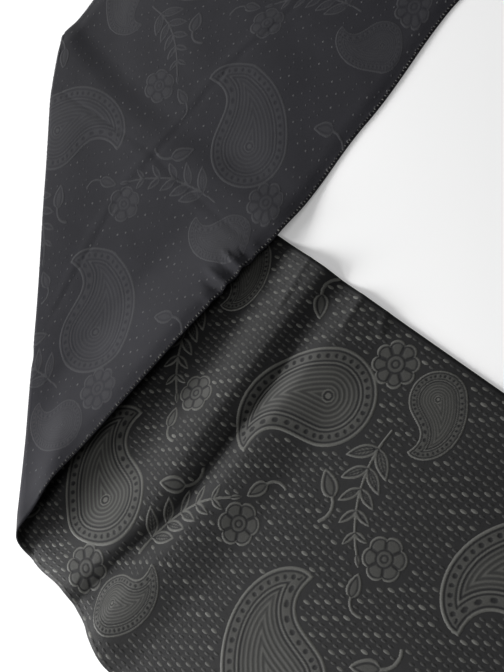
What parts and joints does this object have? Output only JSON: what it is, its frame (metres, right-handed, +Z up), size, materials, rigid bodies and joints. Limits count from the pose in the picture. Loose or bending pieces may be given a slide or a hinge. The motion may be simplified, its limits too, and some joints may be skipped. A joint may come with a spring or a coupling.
{
  "type": "embossed fabric length",
  "caption": "Cut length of charcoal embossed furnishing cloth, lying flat with one slanting turn, a flap folded back over it and soft folds beside the flap.",
  "frame": {"origin": "on the table, at the middle of the folded cloth's footprint", "axes": "+X the way the flap runs, +Y along the near half away from its cut end, +Z up"},
  "size_m": [0.6586, 0.7231, 0.0245],
  "materials": {
    "embossed_cloth": "near-black embossed weave with grey raised figures, soft satin shine"
  },
  "bodies": {
    "root": {"fabric_length": "embossed_cloth"}
  },
  "joints": []
}
